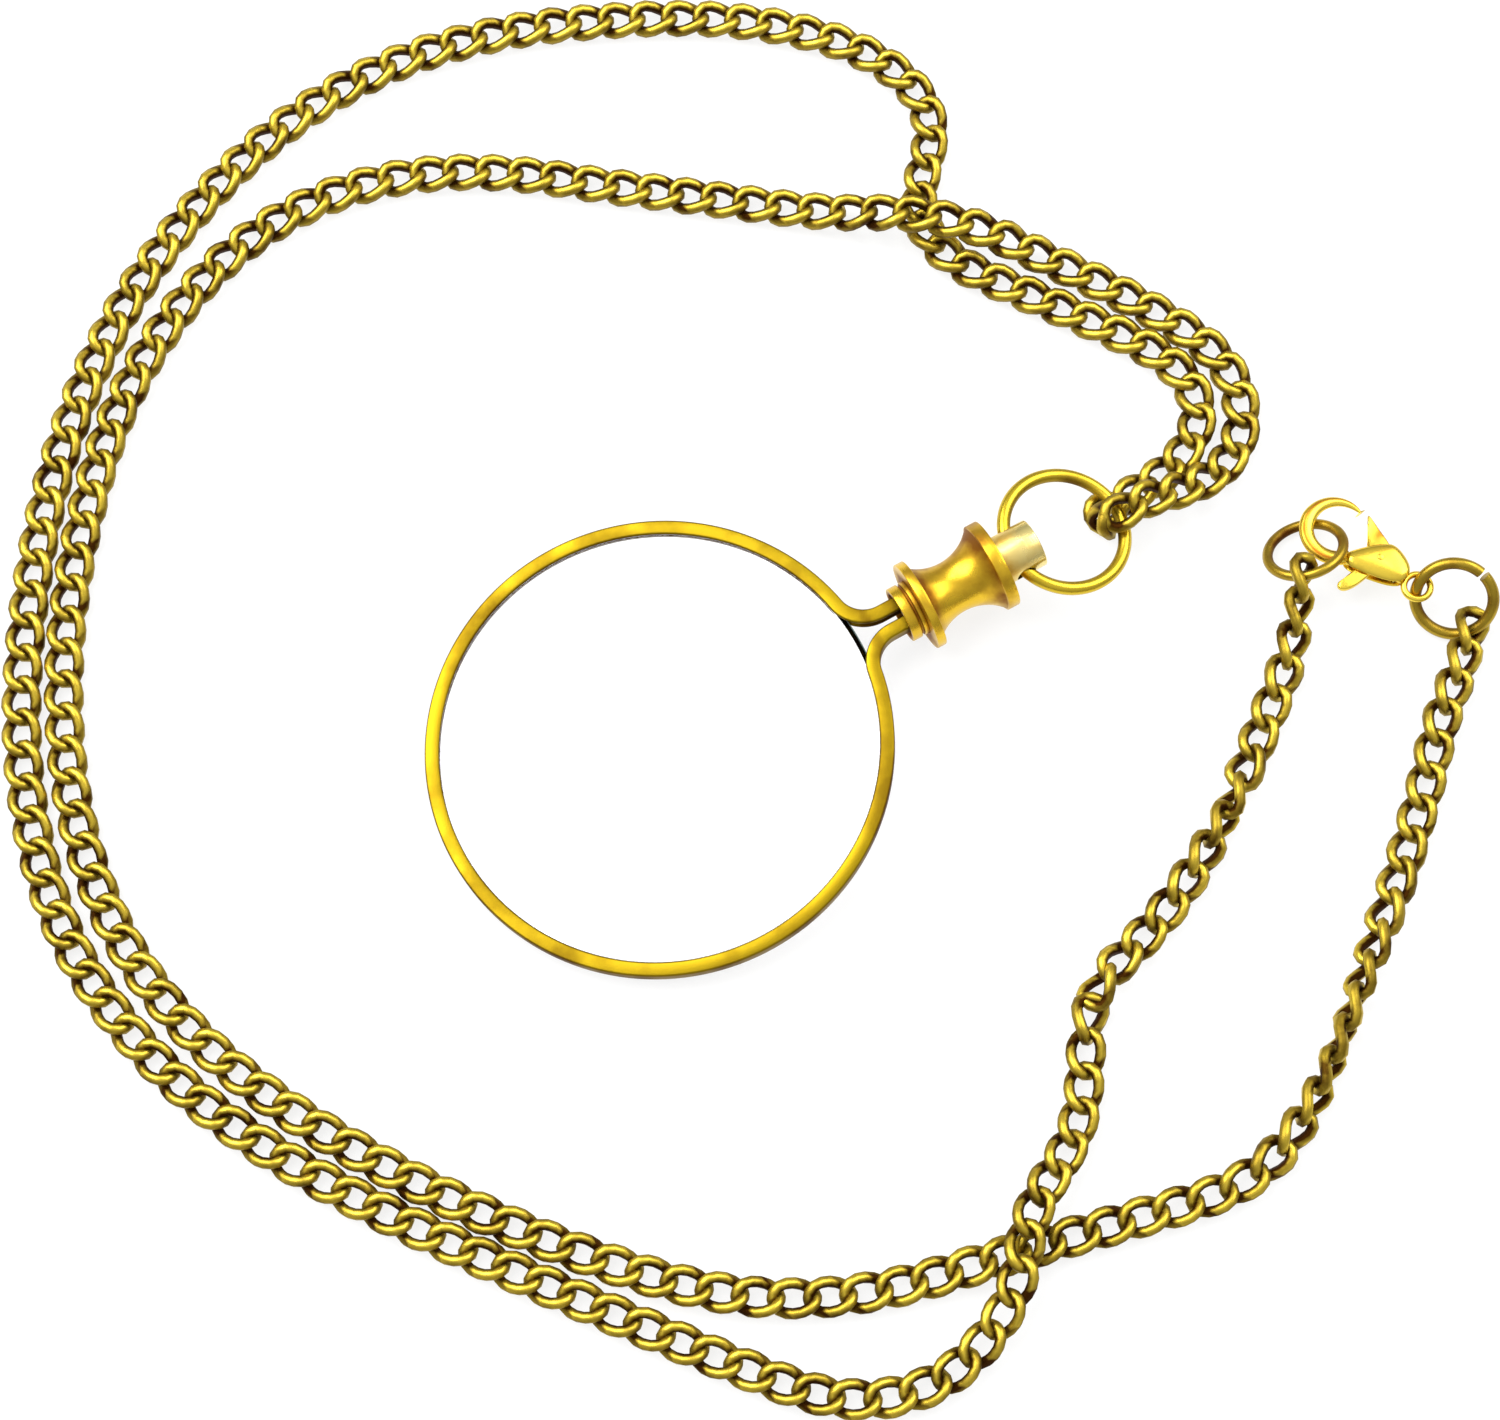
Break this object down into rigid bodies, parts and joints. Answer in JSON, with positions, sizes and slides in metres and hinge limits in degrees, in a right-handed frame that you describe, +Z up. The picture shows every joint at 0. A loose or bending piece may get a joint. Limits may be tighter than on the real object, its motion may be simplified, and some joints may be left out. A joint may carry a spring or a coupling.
{
  "type": "quizzing glass",
  "caption": "Round magnifying lens in a bent brass wire rim with a short turned spool handle and ring, hung on a long curb chain with a lobster clasp.",
  "frame": {"origin": "on the table, under the middle of the box round the glass, its handle and its handle ring", "axes": "+X from the lens along the handle to its ring, +Y across the handle, +Z up from the table"},
  "size_m": [0.137, 0.1458, 0.0096],
  "materials": {
    "glass": "clear polished glass",
    "rim_brass": "polished warm yellow brass",
    "turned_brass": "turned and polished brass",
    "pale_brass": "worn pale brass with a silvery cast",
    "solder": "dull solder",
    "chain_brass": "antiqued brass, dark in the hollows",
    "ring_brass": "satin brass wire",
    "clasp_brass": "plated brass casting",
    "spring_steel": "spring steel"
  },
  "bodies": {
    "chain": {"hitch_links": "chain_brass", "inner_chain_1": "chain_brass", "inner_chain_2": "chain_brass", "inner_chain_3": "chain_brass", "inner_chain_4": "chain_brass", "inner_chain_5": "chain_brass", "inner_chain_6": "chain_brass", "outer_chain_1": "chain_brass", "outer_chain_2": "chain_brass", "outer_chain_3": "chain_brass", "outer_chain_4": "chain_brass", "outer_chain_5": "chain_brass", "outer_chain_6": "chain_brass", "hook_ring": "ring_brass", "eye_ring": "ring_brass"},
    "glass": {"lens": "glass", "rim_wire": "rim_brass", "front_collar": "rim_brass", "spool": "turned_brass", "ring_boss": "pale_brass", "wire_solder": "solder"},
    "ring": {"handle_ring": "rim_brass"},
    "clasp": {"clasp_body": "clasp_brass", "clasp_pin": "clasp_brass", "clasp_spring": "spring_steel"},
    "lever": {"clasp_lever": "clasp_brass"}
  },
  "joints": [
    {"name": "glass_tilt", "type": "hinge", "parent": "chain", "child": "glass", "pos_m": [0.02442, 0, 0.00528], "axis": [0, 1, 0], "range_deg": [0, 110]},
    {"name": "ring_spin", "type": "hinge", "parent": "chain", "child": "ring", "pos_m": [0.03011, 0, 0.00405], "axis": [0.2116, 0, 0.9773], "continuous": true},
    {"name": "clasp_swing", "type": "hinge", "parent": "chain", "child": "clasp", "pos_m": [0.05735, -0.0209, 0.0032], "axis": [0, 0, 1], "range_deg": [-6, 6]},
    {"name": "lever_open", "type": "hinge", "parent": "clasp", "child": "lever", "pos_m": [0.05562, -0.01685, 0.00295], "axis": [-0.0214, 0.0534, 0.9983], "range_deg": [0, 16], "stiffness_Nm_per_rad": 0.002, "springref_deg": -17.19}
  ]
}
